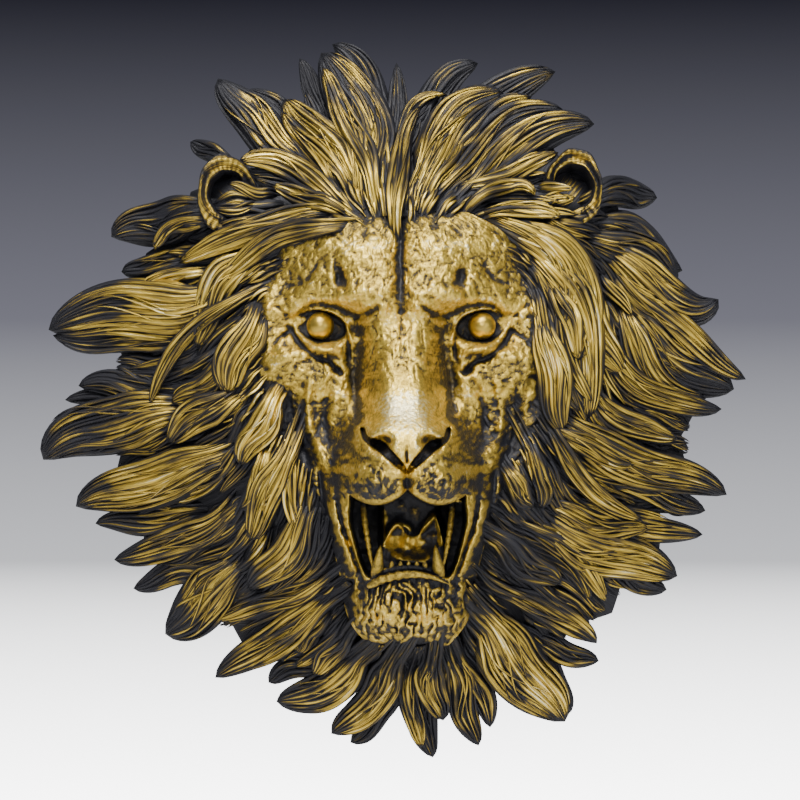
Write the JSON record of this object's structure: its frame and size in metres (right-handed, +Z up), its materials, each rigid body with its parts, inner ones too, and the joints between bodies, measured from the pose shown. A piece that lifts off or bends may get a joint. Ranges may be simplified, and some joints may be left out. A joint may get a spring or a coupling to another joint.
{
  "type": "lion head wall mask",
  "caption": "Wall mask of a roaring lion's head with a full swept mane and a flat back, in antique gold.",
  "frame": {"origin": "centre of the flat back, on the wall plane", "axes": "+Y into the wall, the lion looks along -Y, +Z up, +X to the viewer's right"},
  "size_m": [0.493, 0.1879, 0.501],
  "materials": {
    "antique_gold": "gold rubbed over a near-black patina"
  },
  "bodies": {
    "root": {"lion_mask": "antique_gold"}
  },
  "joints": []
}
